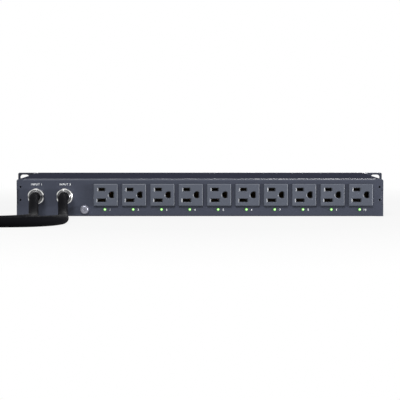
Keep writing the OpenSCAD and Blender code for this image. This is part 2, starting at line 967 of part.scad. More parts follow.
module ground_bus() {
    bus(ground_bus_x0, ground_dx, ground_bus_z);
}

// ---- Outlet lights ----

module led_board() {
    color("#1f5a3a")
        block([outlet_x(1) - 10, outlet_x(OUTLETS) + 8], [led_board_y, led_board_y + board_t],
            led_board_z);
}

module outlet_leds() {
    color("#6fe05a")
    for (i = [1 : OUTLETS])
        turned_y(outlet_x(i) + led_dx, led_z, led_board_y)
            intersection() {
                union() {
                    square([led_d / 2, led_board_y - rear - 0.4]);
                    square([led_d / 2 + 0.4, 1]);
                    translate([0, led_board_y - rear - 0.4])
                        circle(led_d / 2);
                }
                square([led_d, 3 * led_d]);
            }
}

// ---- Cable glands ----

// A hexagon with turned corners and a chamfered outer end, from y = 0 to y = -l.
module hex_nut(af, l, chamfer) {
    turned = af / 2 + gland_turned;
    rotate([90, 0, 0])
        intersection() {
            cylinder(r = af / 2 / cos(30), h = l, $fn = 6);
            union() {
                cylinder(r = turned, h = l - chamfer);
                translate([0, 0, l - chamfer])
                    cylinder(r1 = turned, r2 = turned - 1.2 * chamfer, h = chamfer);
            }
        }
}

module gland_bodies() {
    inner_l = 11;
    color("#c9ccd0")
    for (x = gland_x)
        translate([x, rear, gland_z])
            difference() {
                union() {
                    rotate([0, 30, 0])
                        hex_nut(gland_af, gland_flange, 0.8);
                    rod_y(gland_thread_d, 0, 0, [-gland_flange - 4.5, inner_l]);
                }
                rod_y(gland_bore_d, 0, 0, [-gland_flange - 5.5, inner_l + over]);
            }
}

module gland_seals() {
    color("#101113")
    for (x = gland_x)
        translate([x, rear - gland_flange - 4.5, gland_z])
            difference() {
                rod_y(gland_thread_d, 0, 0, [-3, 0]);
                rod_y(cord_d + fit, 0, 0, [-3 - over, over]);
            }
}

module gland_nuts() {
    dome_r = cord_d / 2 + gap + gland_nose_wall;
    round_r = 2.4;
    color("#d5d8db")
    for (x = gland_x)
        translate([x, rear - gland_flange, gland_z])
            difference() {
                union() {
                    rotate([0, 30, 0])
                        hex_nut(gland_af, gland_nut_l, 1.1);
                    rotate([90, 0, 0])
                        translate([0, 0, gland_nut_l - over])
                            rotate_extrude() {
                                square([dome_r, gland_dome_l - round_r + over]);
                                square([dome_r - round_r, gland_dome_l + over]);
                                translate([dome_r - round_r, gland_dome_l - round_r + over])
                                    intersection() {
                                        circle(round_r);
                                        square(round_r + over);
                                    }
                            }
                }
                rod_y(gland_thread_d + fit, 0, 0, [-7.6, over]);
                rod_y(cord_d + 2 * gap, 0, 0, [-gland_nut_l - gland_dome_l - over, over]);
            }
}

module gland_locknuts() {
    lock_t = 3.5;
    color("#c9ccd0")
    for (x = gland_x)
        translate([x, rear_in + lock_t, gland_z])
            difference() {
                rotate([0, 30, 0])
                    hex_nut(gland_af, lock_t, 0.6);
                rod_y(gland_thread_d + fit, 0, 0, [-lock_t - over, over]);
            }
}

module cord_tails() {
    color("#141517")
    for (x = gland_x)
        rod_y(cord_d, x, gland_z, [gland_mouth, tail_end]);
}

// ---- Ground terminal ----

module ground_washer() {
    teeth = 16;
    washer_r = 5.2;
    color("#b9bcc0")
    difference() {
        rod_y(2 * washer_r, ground_x, ground_z, [rear - washer_t, rear]);
        rod_y(5.2, ground_x, ground_z, [rear - washer_t - over, rear + over]);
        for (a = [0 : 360 / teeth : 359])
            translate([ground_x, rear - washer_t, ground_z])
                rotate([0, a, 0])
                    translate([washer_r, 0, 0])
                        rotate([0, 45, 0])
                            cube([0.7, 4, 0.7], center = true);
    }
}

module ground_screw() {
    head_t = 3;
    round_r = 1.6;
    face = rear - washer_t;
    color("#c6c9cd")
    difference() {
        union() {
            turned_y(ground_x, ground_z, face)
                intersection() {
                    union() {
                        square([ground_head_d / 2, head_t - round_r]);
                        square([ground_head_d / 2 - round_r, head_t]);
                        translate([ground_head_d / 2 - round_r, head_t - round_r])
                            circle(round_r);
                    }
                    square(2 * ground_head_d);
                }
            rod_y(4.8, ground_x, ground_z, [face - 0.5, rear + 10]);
        }
        translate([ground_x, face - head_t, ground_z])
            rotate([90, 0, 0])
                cross_recess(5.2, 1.1, 1.6);
    }
}

// ---- Power path inside ----

module heatsink() {
    fin_t = 1.6;
    fin_h = module_h - 2;
    fins = [heatsink_x[0], heatsink_x[0] + 4.4, (module_x[0] + module_x[1] - fin_t) / 2,
        heatsink_x[1] - 4.4 - fin_t, heatsink_x[1] - fin_t];
    color("#9a9da1")
    along_y([heatsink_y, heatsink_y + heatsink_d]) {
        translate([heatsink_x[0], sheet_t])
            square([heatsink_x[1] - heatsink_x[0], heatsink_base]);
        for (x = fins)
            translate([x, sheet_t])
                square([fin_t, heatsink_base + fin_h]);
    }
}

// Two solid-state switch modules, one for each source, with recessed terminals at both ends.
module switch_modules() {
    wall = 4;
    rib = 3;
    color("#202124")
    for (x = module_x)
        difference() {
            block([x - module_w / 2, x + module_w / 2], [module_y, module_y + module_d],
                [heatsink_top, module_top]);
            for (y = [module_y - over, module_y + module_d - recess_l], s = [-1, 1])
                translate([x + s * (module_w / 4 + rib / 4 - wall / 2), 0, 0])
                    block([-1, 1] * (module_w / 4 - rib / 4 - wall / 2), [y, y + recess_l + over],
                        [terminal_z, module_top + over]);
        }
}

// Line and neutral straps that join the two modules' outputs.
module output_links() {
    color("#b06a3c")
    for (s = [0, 1]) {
        y = [link_y[s], link_y[s] + link_w];
        post_x = [for (x = module_x) x + (2 * s - 1) * terminal_dx];
        for (x = post_x)
            block([x - 3, x + 3], y, [terminal_z, link_z[s] + link_t]);
        block([post_x[0] - 3, output_wire_x[s] + 3], y, [link_z[s], link_z[s] + link_t]);
    }
}

module power_wires() {
    in_z = terminal_z + wire_d / 2;
    color("#7a1f1c")
    for (g = [0, 1], s = [-1, 1]) {
        x0 = gland_x[g] + s * 2.6;
        x1 = module_x[g] + s * terminal_dx;
        tube([[x0, tail_end, gland_z], [x0, tail_end + 6, gland_z],
            [(2 * x0 + x1) / 3, tail_end + 16, gland_z],
            [(x0 + 2 * x1) / 3, module_y - 25, in_z + 2],
            [x1, module_y - 12, in_z], [x1, module_y - 4, in_z], [x1, module_y + 6, in_z]], wire_d);
    }
    color("#7a1f1c")
    for (s = [0, 1]) {
        x = output_wire_x[s];
        y = [link_y[s] + link_w, bus_front];
        z = [link_z[s] - wire_d / 2, (s == 0 ? line_bus_z : neutral_bus_z) + bus_t / 2];
        tube([[x, y[0], z[0]], [x, y[0] - 9, z[0]], [x, y[0] - 18, z[0]],
            [x, (y[0] + y[1]) / 2, (z[0] + z[1]) / 2],
            [x, y[1] + 14, z[1]], [x, y[1], z[1]]], wire_d);
    }
}

module ground_wires() {
    color("#3f7d2c")
    for (g = [0, 1]) {
        x = gland_x[g];
        y = bus_front - bus_w / 2 + (1 - 2 * g) * 1.7;
        z = [gland_z + 3.4, gland_z + 3.4 + 6 * (1 - g), ground_bus_z + bus_t / 2];
        tube([[x, tail_end, z[0]], [x, tail_end + 4, z[0]], [x + 1.5, tail_end + 8, (z[0] + z[1]) / 2],
            [x + 8, y - 1, z[1]], [x + 16, y, z[1]],
            [ground_bus_x0 - 6, y, z[2]], [ground_bus_x0, y, z[2]]], wire_d);
    }
}

// ---- Boards inside ----

module board_standoffs() {
    post_d = 6;
    color("#b8963e") {
        for (p = concat(corners(board_x, board_y, 5), corners(supply_x, supply_y, 5)))
            translate([p[0], p[1], sheet_t])
                cylinder(d = post_d, h = standoff_h, $fn = 6);
        for (x = [outlet_x(1) - 7, outlet_x(5) + outlet_pitch / 2, outlet_x(OUTLETS) + 5])
            rod_y(4, x, led_z, [rear_in, led_board_y]);
        for (x = [window_x + window_w / 2 + 3, pipe_x[KEYS - 1] - 5])
            rod_y(4, x, key_z, [key_board_face, front_in]);
    }
}

// A component that stands on a board, its low corner at x and y.
module on_board(x, y, size) {
    translate([x, y, board_top])
        cube(size);
}

module control_board() {
    x = board_x;
    y = board_y;
    wide = x[1] - x[0];
    color("#1f5a3a")
        block(x, y, [board_z, board_top]);
    color("#17181a") {
        on_board(x[0] + 0.24 * wide, y[0] + 60, [18, 18, 1.4]);
        on_board(x[0] + 0.12 * wide, y[0] + 20, [18, 16, 14]);
        on_board(x[0] + 0.3 * wide, y[0] + 20, [18, 16, 14]);
        on_board(x[0] + 0.55 * wide, y[0] + 40, [40, 6, 9]);
    }
    color("#2c4f86")
    for (i = [0 : 3])
        translate([x[0] + (0.6 + 0.085 * i) * wide, y[0] + 85, board_top - 0.1])
            cylinder(d = 10, h = 16);
}

module power_supply() {
    x = supply_x;
    y = supply_y;
    color("#1f5a3a")
        block(x, y, [board_z, board_top]);
    color("#c7a13a")
        block([x[0] + 28, x[0] + 62], [y[0] + 30, y[0] + 58], [board_top, board_top + 24]);
    color("#17181a") {
        block([x[0] + 10, x[0] + 24], [y[0] + 14, y[0] + 40], [board_top, board_top + 18]);
        for (dx = [74, 86])
            translate([x[0] + dx, y[0] + 30, board_top - 0.1])
                cylinder(d = 10, h = 20);
        translate([x[0] + 76, y[0] + 60, board_top - 0.1])
            cylinder(d = 18, h = 24);
    }
}

// ---- Mains cords ----

module cord_a() {
    color("#141517") {
        tube(route_a, cord_d, 12);
        tube(tail_a, cord_d, 12);
    }
}

module cord_b() {
    color("#141517") {
        tube(route_b, cord_d, 12);
        tube(tail_b, cord_d, 12);
    }
}

module coil(at) {
    color("#141517")
        translate([at[0], at[1], tie_t])
            rotate_extrude()
                translate([(coil_r[0] + coil_r[1]) / 2, coil_h / 2])
                    rounded_rect(coil_r[1] - coil_r[0], coil_h, cord_r);
}

module cord_coil_a() {
    coil(coil_a);
}

module cord_coil_b() {
    coil(coil_b);
}

// Straps round the bundle of turns, two on each coil.
module coil_ties() {
    strap_w = 12;
    wide = coil_r[1] - coil_r[0];
    color("#222326")
    for (c = [[coil_a, 45], [coil_a, 225], [coil_b, 45], [coil_b, 225]])
        translate([c[0][0], c[0][1], tie_t])
            rotate(c[1])
                along_y([-strap_w / 2, strap_w / 2])
                    translate([(coil_r[0] + coil_r[1]) / 2 - 0.4, coil_h / 2])
                        difference() {
                            rounded_rect(wide + 2 * tie_t + 0.8, coil_h + 2 * tie_t, cord_r + tie_t);
                            rounded_rect(wide + 0.8, coil_h, cord_r);
                        }
}

// A moulded 5-15P plug lying on its side, cord entry at the origin, blades towards +X.
module plug() {
    grip = plug_relief + plug_grip;
    color("#17181a") {
        rotate([0, 90, 0])
            cylinder(r1 = cord_r + 0.6, r2 = 8.5, h = plug_relief);
        for (i = [0 : 3])
            translate([4 + 5.5 * i, 0, 0])
                rotate([0, 90, 0])
                    cylinder(r = cord_r + 1.9 + 0.6 * i, h = 2.6);
        translate([grip / 2 + plug_relief / 2, 0, 0])
            rotate([0, 90, 0])
                linear_extrude(plug_grip + 2 * over, center = true)
                    rounded_rect(19, 21, 6);
        translate([grip + plug_head / 2, 0, 0])
            rotate([0, 90, 0])
                linear_extrude(plug_head, center = true)
                    rounded_rect(2 * plug_half, 25, 7);
    }
}

module plug_a() {
    translate(plug_a_at)
        rotate(180)
            plug();
}

module plug_b() {
    translate(plug_b_at)
        rotate(-90)
            plug();
}

module plug_blades() {
    blade_l = 17.5;
    pin_l = 20.5;
    face = plug_relief + plug_grip + plug_head;
    color("#c2a65a")
    for (p = [[plug_a_at, 180], [plug_b_at, -90]])
        translate(p[0])
            rotate(p[1]) {
                for (s = [-1, 1])
                    block([face, face + blade_l], [-4 - 3.2, -4 + 3.2],
                        [s * 6.35 - 0.75, s * 6.35 + 0.75]);
                translate([face, 7.9, 0])
                    rotate([0, 90, 0]) {
                        cylinder(d = 4.8, h = pin_l - 2.4);
                        translate([0, 0, pin_l - 2.4])
                            sphere(d = 4.8);
                    }
            }
}

base_tray();
top_cover();
front_panel();
rack_ear_left();
rack_ear_right();
ear_screws();
cover_screws();
display_window();
display_module();
for (i = [1 : KEYS])
    key(i);
key_switches();
key_board();
light_pipes();
network_jack();
sensor_jack();
gland_bodies();
gland_nuts();
gland_locknuts();
gland_seals();
cord_tails();
ground_screw();
ground_washer();
for (i = [1 : OUTLETS])
    outlet(i);
line_contacts();
neutral_contacts();
ground_contacts();
line_bus();
neutral_bus();
ground_bus();
led_board();
outlet_leds();
control_board();
board_standoffs();
heatsink();
switch_modules();
output_links();
power_supply();
power_wires();
ground_wires();
cord_a();
cord_b();
cord_coil_a();
cord_coil_b();
coil_ties();
plug_a();
plug_b();
plug_blades();
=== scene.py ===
# Rack static transfer switch, one rack unit high, with two mains inputs and ten outlets.
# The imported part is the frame, and every piece here is dressed on it or rides with it.
import math

import bmesh
import bpy
from mathutils import Matrix, Vector


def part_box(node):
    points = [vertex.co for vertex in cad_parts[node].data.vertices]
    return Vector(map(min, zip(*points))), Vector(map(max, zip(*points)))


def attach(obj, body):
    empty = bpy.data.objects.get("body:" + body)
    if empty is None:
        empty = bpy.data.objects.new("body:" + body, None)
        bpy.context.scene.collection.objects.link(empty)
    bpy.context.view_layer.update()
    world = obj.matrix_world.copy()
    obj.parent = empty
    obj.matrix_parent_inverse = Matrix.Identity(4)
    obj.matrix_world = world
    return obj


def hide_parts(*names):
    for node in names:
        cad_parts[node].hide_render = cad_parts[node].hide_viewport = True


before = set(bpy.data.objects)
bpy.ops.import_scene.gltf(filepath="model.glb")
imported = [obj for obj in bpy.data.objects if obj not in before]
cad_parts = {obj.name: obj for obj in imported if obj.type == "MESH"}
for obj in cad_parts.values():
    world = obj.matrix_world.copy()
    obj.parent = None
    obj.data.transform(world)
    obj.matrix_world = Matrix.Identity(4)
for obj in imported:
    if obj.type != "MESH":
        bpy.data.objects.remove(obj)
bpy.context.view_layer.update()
scene = bpy.context.scene

# ---- Camera ----
# A long lens two metres off, square on to the outlet wall. It stands a little above the unit
# and is pitched slightly down, so that a narrow strip of the cover shows.
camera_data = bpy.data.cameras.new("camera")
camera_data.lens = 142.65
camera_data.sensor_width = 36.0
camera_data.clip_end = 60.0
camera = bpy.data.objects.new("camera", camera_data)
camera.location = (0.0, -1.985, 0.111)
camera.rotation_euler = (math.radians(90.0 - 2.82), 0.0, 0.0)
scene.collection.objects.link(camera)
scene.camera = camera


# ---- Mains cords ----
# Two three-core flexes in a black jacket, each held by its gland and moulded to its plug.
# They drop to the surface that the unit stands on, and the spare length is wound in two
# layers beside the unit and strapped. Each turn lies against the next.
CORD_D = 0.0112
GLAND_X = (-0.1924, -0.1588)
GLAND_Z = 0.0235
COIL_OUTER, COIL_INNER = 0.0815, 0.0479
COIL_LOW, COIL_HIGH = 0.0066, 0.0178
STEPS_A_TURN = 24


def put(tree, kind, inputs=None, **settings):
    """Adds a node to a finish; an input is a value, or the socket that feeds it."""
    made = tree.nodes.new(kind)
    for name, value in settings.items():
        setattr(made, name, value)
    for name, value in (inputs or {}).items():
        if isinstance(value, bpy.types.NodeSocket):
            tree.links.new(value, made.inputs[name])
        else:
            made.inputs[name].default_value = value
    return made


def screen_colour(red, green, blue):
    """A colour as it looks on a screen, 0 to 255, in the linear values that a shader takes."""
    def linear(value):
        value /= 255.0
        return value / 12.92 if value <= 0.04045 else ((value + 0.055) / 1.055) ** 2.4
    return (linear(red), linear(green), linear(blue), 1.0)


def blended(tree, share, first, second):
    """One colour laid over another: share 0 shows the first and 1 the second."""
    return put(tree, "ShaderNodeMix", {0: share, 6: first, 7: second}, data_type="RGBA").outputs[2]


def reckoned(tree, operation, first, second=0.0, limit=False):
    return put(tree, "ShaderNodeMath", {0: first, 1: second},
               operation=operation, use_clamp=limit).outputs[0]


def stretched(tree, value, low, high, to_low=0.0, to_high=1.0):
    return put(tree, "ShaderNodeMapRange", {
        "Value": value, "From Min": low, "From Max": high,
        "To Min": to_low, "To Max": to_high}).outputs[0]


def new_effect(name, inputs, outputs):
    """An empty shared effect with named sockets; a tuple stands for a colour."""
    tree = bpy.data.node_groups.new(name, "ShaderNodeTree")
    for socket, value in inputs.items():
        kind = "NodeSocketColor" if isinstance(value, tuple) else "NodeSocketFloat"
        made = tree.interface.new_socket(socket, in_out="INPUT", socket_type=kind)
        made.default_value = value
    for socket, kind in outputs.items():
        tree.interface.new_socket(socket, in_out="OUTPUT", socket_type="NodeSocket" + kind)
    return tree, tree.nodes.new("NodeGroupInput").outputs, tree.nodes.new("NodeGroupOutput").inputs


def close_effect(tree, leave, results):
    for name, socket in results.items():
        tree.links.new(socket, leave[name])


# Fine grain: the skin of a powder coat, a moulding or a rubber jacket. It gives a fleck of
# lighter and darker spots, a slight change of gloss, and the height of the grain.
tree, given, leave = new_effect(
    "fine_grain",
    {"Colour": (0.1, 0.1, 0.1, 1.0), "Size": 0.0005, "Fleck": 0.15, "Gloss": 0.5,
     "Gloss Change": 0.08, "Cloud": 0.06},
    {"Colour": "Color", "Roughness": "Float", "Height": "Float"})
place = put(tree, "ShaderNodeTexCoord").outputs["Object"]
per_metre = reckoned(tree, "DIVIDE", 1.0, given["Size"])
grain = put(tree, "ShaderNodeTexNoise",
            {"Vector": place, "Scale": per_metre, "Detail": 3.0, "Roughness": 0.6}).outputs[0]
cloud = put(tree, "ShaderNodeTexNoise",
            {"Vector": place, "Scale": 21.0, "Detail": 4.0, "Roughness": 0.55}).outputs[0]
fleck = reckoned(tree, "MULTIPLY", stretched(tree, grain, 0.3, 0.7, -1.0, 1.0), given["Fleck"])
drift = reckoned(tree, "MULTIPLY", stretched(tree, cloud, 0.3, 0.7, -1.0, 1.0), given["Cloud"])
lift = reckoned(tree, "ADD", reckoned(tree, "ADD", fleck, drift), 1.0)
toned = put(tree, "ShaderNodeVectorMath", {0: given["Colour"], 3: lift}, operation="SCALE").outputs[0]
uneven = reckoned(tree, "MULTIPLY", stretched(tree, cloud, 0.3, 0.7, -1.0, 1.0), given["Gloss Change"])
close_effect(tree, leave, {
    "Colour": toned, "Roughness": reckoned(tree, "ADD", uneven, given["Gloss"], True),
    "Height": grain})

# Edge wear and highlight: edges painted lighter, partly as worn paint or plating and partly as a
# painted highlight, and the slight rounding that every edge has. It gives that colour and the rounded
# normal.
tree, given, leave = new_effect(
    "edge_wear_and_highlight",
    {"Colour": (0.1, 0.1, 0.1, 1.0), "Wear And Highlight": (0.3, 0.3, 0.3, 1.0), "Width": 0.0004,
     "Amount": 0.5},
    {"Colour": "Color", "Mask": "Float", "Normal": "Vector"})
rounded = put(tree, "ShaderNodeBevel", {"Radius": given["Width"]}, samples=6).outputs[0]
true = put(tree, "ShaderNodeNewGeometry").outputs["True Normal"]
turn = put(tree, "ShaderNodeVectorMath", {0: rounded, 1: true}, operation="DOT_PRODUCT").outputs[1]
place = put(tree, "ShaderNodeTexCoord").outputs["Object"]
patch = put(tree, "ShaderNodeTexNoise",
            {"Vector": place, "Scale": 160.0, "Detail": 4.0, "Roughness": 0.7}).outputs[0]
# The lighter edge colour is partly wear and partly a painted highlight.
worn_and_lit_edge = reckoned(tree, "MULTIPLY", stretched(tree, turn, 0.985, 0.86),
                stretched(tree, patch, 0.35, 0.6, 0.25, 1.0))
mask = reckoned(tree, "MULTIPLY", worn_and_lit_edge, given["Amount"], True)
close_effect(tree, leave, {
    "Colour": blended(tree, mask, given["Colour"], given["Wear And Highlight"]),
    "Mask": mask, "Normal": rounded})


def new_finish(name, roughness, metal=0.0):
    """A finish with its shader; the look that changes over the surface is linked in after."""
    made = bpy.data.materials.new(name)
    made.use_nodes = True
    shader = made.node_tree.nodes["Principled BSDF"]
    shader.inputs["Roughness"].default_value = roughness
    shader.inputs["Metallic"].default_value = metal
    return made, made.node_tree, shader


def effect(tree, name, inputs):
    return put(tree, "ShaderNodeGroup", inputs, node_tree=bpy.data.node_groups[name]).outputs


def grained_finish(name, colour, size, depth, gloss, fleck=0.15, wear_and_highlight=None, edge_width=0.0004,
                   wear_and_highlight_share=0.5, cloud=0.06, shine=0.5, painted_shade_from=None):
    """Paint, moulded plastic or rubber: a fine grain with its depth in metres, and rounded edges
    painted lighter as wear and highlight. From a level on Y inwards, the sides of a deep hollow are
    painted dark as shade."""
    made, tree, shader = new_finish(name, gloss)
    shader.inputs["Specular IOR Level"].default_value = shine
    skin = effect(tree, "fine_grain", {
        "Colour": colour, "Size": size, "Fleck": fleck, "Gloss": gloss, "Cloud": cloud})
    edge = effect(tree, "edge_wear_and_highlight", {
        "Colour": skin["Colour"], "Wear And Highlight": wear_and_highlight or colour, "Width": edge_width,
        "Amount": wear_and_highlight_share if wear_and_highlight else 0.0})
    # Painted shade: behind a level on Y the colour is blended towards black, for the shade inside a
    # deep hollow such as a slot.
    if painted_shade_from is not None:
        place = put(tree, "ShaderNodeTexCoord").outputs["Object"]
        level = put(tree, "ShaderNodeSeparateXYZ", {0: place}).outputs[1]
        painted_shade = stretched(tree, level, painted_shade_from, painted_shade_from + 0.0009, 0.0, 0.94)
        edge = {"Normal": edge["Normal"], "Colour": blended(
            tree, painted_shade, edge["Colour"], (0.0, 0.0, 0.0, 1.0))}
    bump = put(tree, "ShaderNodeBump", {
        "Strength": 1.0, "Distance": depth, "Height": skin["Height"], "Normal": edge["Normal"]})
    tree.links.new(edge["Colour"], shader.inputs["Base Color"])
    tree.links.new(skin["Roughness"], shader.inputs["Roughness"])
    tree.links.new(bump.outputs[0], shader.inputs["Normal"])
    return made


def smooth_run(points, steps=3):
    """A cord's line that passes smoothly through the points given."""
    last = len(points) - 1
    line = []
    for i in range(last):
        before, here, after, beyond = (
            Vector(points[min(max(k, 0), last)]) for k in (i - 1, i, i + 1, i + 2))
        for k in range(steps):
            t = k / steps
            line.append(0.5 * (
                2 * here + (after - before) * t
                + (2 * before - 5 * here + 4 * after - beyond) * t ** 2
                + (3 * here - before - 3 * after + beyond) * t ** 3))
    line.append(Vector(points[last]))
    return line


def eased(value, start, end):
    """Goes smoothly from 0 to 1 as the value goes from start to end."""
    share = min(max((value - start) / (end - start), 0.0), 1.0)
    return share * share * (3 - 2 * share)


def wound_turns(centre, turns):
    """Four turns side by side on the surface, then the rest over them, back to the outside."""
    climb, last = 3 * 360 + 232, turns * 360
    line = []
    for k in range(round(turns * STEPS_A_TURN) + 1):
        angle = 360 * k / STEPS_A_TURN
        inwards = sum(eased(angle, 240 + 360 * n, 390 + 360 * n) for n in range(3)) / 3
        outwards = eased(angle, climb + 60, last)
        radius = COIL_OUTER + (COIL_INNER - COIL_OUTER) * (inwards - outwards)
        height = COIL_LOW + (COIL_HIGH - COIL_LOW) * eased(angle, climb, climb + 95)
        line.append((centre[0] + radius * math.cos(math.radians(angle)),
                     centre[1] + radius * math.sin(math.radians(angle)), height))
    return line


def lay_cord(name, points, finish):
    made = bpy.data.curves.new(name, "CURVE")
    made.dimensions = "3D"
    made.bevel_depth = CORD_D / 2
    made.bevel_resolution = 6
    made.use_fill_caps = True
    line = made.splines.new("POLY")
    run = smooth_run(points)
    line.points.add(len(run) - 1)
    for point, at in zip(line.points, run):
        point.co = (*at, 1.0)
    line.use_smooth = True
    made.materials.append(finish)
    obj = bpy.data.objects.new(name, made)
    scene.collection.objects.link(obj)
    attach(obj, "root")
    return obj


def dress(finish, *nodes):
    """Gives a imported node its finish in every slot."""
    for name in nodes:
        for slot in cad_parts[name].material_slots:
            slot.material = finish


jacket = grained_finish("cord_jacket", screen_colour(13, 13, 16), 0.0007, 0.00006, 0.68,
                        fleck=0.12, cloud=0.12, shine=0.014)
route_1 = [
    (-0.1924, -0.1370, 0.0235), (-0.1924, -0.1460, 0.0235), (-0.1918, -0.1580, 0.0217),
    (-0.1906, -0.1710, 0.0172), (-0.1894, -0.1840, 0.0118), (-0.1882, -0.1960, 0.0078),
    (-0.1868, -0.2090, 0.0059), (-0.1854, -0.2240, 0.0056), (-0.1843, -0.2390, 0.0056),
    (-0.1841, -0.2520, 0.0056), (-0.1856, -0.2650, 0.0056), (-0.1904, -0.2770, 0.0056),
    (-0.1981, -0.2870, 0.0056), (-0.2080, -0.2945, 0.0056), (-0.2195, -0.2993, 0.0056),
    (-0.2320, -0.3010, 0.0056), (-0.2445, -0.2993, 0.0056), (-0.2560, -0.2945, 0.0056),
    (-0.2660, -0.2870, 0.0056), (-0.2736, -0.2770, 0.0056), (-0.2784, -0.2650, 0.0056),
    (-0.2800, -0.2520, 0.0056), (-0.2800, -0.2200, 0.0056), (-0.2800, -0.1850, 0.0058),
    (-0.2800, -0.1500, 0.0062), (-0.2800, -0.1150, 0.0066), (-0.2800, -0.0800, 0.0066),
    (-0.2800, -0.0450, 0.0066), (-0.2800, -0.0100, 0.0066), (-0.2800, 0.0250, 0.0066),
    (-0.2800, 0.0550, 0.0066), (-0.2800, 0.0850, 0.0066)]
route_2 = [
    (-0.1588, -0.1370, 0.0235), (-0.1588, -0.1460, 0.0235), (-0.1582, -0.1580, 0.0217),
    (-0.1571, -0.1710, 0.0172), (-0.1559, -0.1840, 0.0118), (-0.1548, -0.1960, 0.0078),
    (-0.1537, -0.2090, 0.0059), (-0.1524, -0.2240, 0.0056), (-0.1506, -0.2400, 0.0056),
    (-0.1492, -0.2560, 0.0056), (-0.1505, -0.2740, 0.0056), (-0.1570, -0.2910, 0.0056),
    (-0.1680, -0.3050, 0.0056), (-0.1830, -0.3145, 0.0056), (-0.2010, -0.3190, 0.0056),
    (-0.2210, -0.3200, 0.0056), (-0.2430, -0.3190, 0.0056), (-0.2640, -0.3130, 0.0056),
    (-0.2830, -0.3010, 0.0056), (-0.2960, -0.2840, 0.0056), (-0.3030, -0.2640, 0.0056),
    (-0.3050, -0.2400, 0.0056), (-0.3050, -0.2100, 0.0056), (-0.3050, -0.1750, 0.0058),
    (-0.3050, -0.1400, 0.0062), (-0.3050, -0.1050, 0.0066)]
to_plug_1 = [
    (-0.3710, 0.1968, 0.0176), (-0.3800, 0.1982, 0.0164), (-0.3890, 0.2002, 0.0144),
    (-0.3980, 0.2010, 0.0130), (-0.4080, 0.2010, 0.0130)]
to_plug_2 = [
    (-0.4683, -0.0800, 0.0176), (-0.4697, -0.0890, 0.0164), (-0.4717, -0.0980, 0.0144),
    (-0.4725, -0.1070, 0.0130), (-0.4725, -0.1170, 0.0130)]
mains_cord_1 = lay_cord(
    "mains_cord_1", route_1 + wound_turns((-0.3615, 0.115), 5.25) + to_plug_1, jacket)
mains_cord_2 = lay_cord(
    "mains_cord_2", route_2 + wound_turns((-0.3865, -0.070), 5.5) + to_plug_2, jacket)
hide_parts("cord_a", "cord_coil_a")
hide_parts("cord_b", "cord_coil_b")
dress(jacket, "cord_tails")

# ---- Straps and plugs ----
# Two woven hook-and-loop straps hold each coil. The plugs are moulded in the same rubber as
# the jacket, with a ribbed strain relief, and have two folded brass blades and a round pin.
def woven_finish(name, colour, thread):
    """A narrow woven strap: ribs across it and threads along it."""
    made, tree, shader = new_finish(name, 0.85)
    place = put(tree, "ShaderNodeTexCoord").outputs["Object"]
    level = put(tree, "ShaderNodeMapping", {
        "Vector": place, "Rotation": (0.0, 0.0, math.radians(45.0))}).outputs[0]
    ribs = put(tree, "ShaderNodeTexWave", {
        "Vector": level, "Scale": 0.31 / thread, "Distortion": 0.6, "Detail": 1.0},
        bands_direction="X").outputs[1]
    threads = put(tree, "ShaderNodeTexWave", {
        "Vector": level, "Scale": 0.31 / thread, "Distortion": 0.6, "Detail": 1.0},
        bands_direction="Y").outputs[1]
    weave = reckoned(tree, "MAXIMUM", ribs, threads)
    fuzz = effect(tree, "fine_grain", {
        "Colour": colour, "Size": thread * 0.5, "Fleck": 0.3, "Gloss": 0.85})
    shade = blended(tree, reckoned(tree, "MULTIPLY", weave, 0.55), fuzz["Colour"],
                    tuple(min(c * 2.2, 1.0) for c in colour[:3]) + (1.0,))
    bump = put(tree, "ShaderNodeBump", {"Strength": 1.0, "Distance": 0.0002, "Height": weave})
    tree.links.new(shade, shader.inputs["Base Color"])
    tree.links.new(bump.outputs[0], shader.inputs["Normal"])
    shader.inputs["Sheen Weight"].default_value = 0.3
    shader.inputs["Sheen Roughness"].default_value = 0.5
    return made


# Bright metal: fine drawn or turned lines, and a film of handling that dulls it in patches.
tree, given, leave = new_effect(
    "worn_metal",
    {"Colour": (0.7, 0.7, 0.7, 1.0), "Dull": (0.4, 0.4, 0.4, 1.0), "Lines": 9000.0,
     "Along": 40.0, "Gloss": 0.25, "Film": 0.3},
    {"Colour": "Color", "Roughness": "Float", "Height": "Float"})
place = put(tree, "ShaderNodeTexCoord").outputs["Object"]
part = put(tree, "ShaderNodeSeparateXYZ", {0: place}).outputs
drawn = put(tree, "ShaderNodeCombineXYZ", {
    0: reckoned(tree, "MULTIPLY", part[0], given["Along"]),
    1: reckoned(tree, "MULTIPLY", part[1], given["Lines"]),
    2: reckoned(tree, "MULTIPLY", part[2], given["Lines"])}).outputs[0]
lines = put(tree, "ShaderNodeTexNoise",
            {"Vector": drawn, "Scale": 1.0, "Detail": 2.0, "Roughness": 0.6}).outputs[0]
film = put(tree, "ShaderNodeTexNoise",
           {"Vector": place, "Scale": 130.0, "Detail": 5.0, "Roughness": 0.6}).outputs[0]
dulled = reckoned(tree, "MULTIPLY", stretched(tree, film, 0.42, 0.7), given["Film"], True)
rough = reckoned(tree, "ADD", given["Gloss"], reckoned(tree, "ADD", reckoned(
    tree, "MULTIPLY", dulled, 0.5), stretched(tree, lines, 0.3, 0.7, -0.03, 0.05)), True)
close_effect(tree, leave, {
    "Colour": blended(tree, dulled, given["Colour"], given["Dull"]),
    "Roughness": rough, "Height": lines})


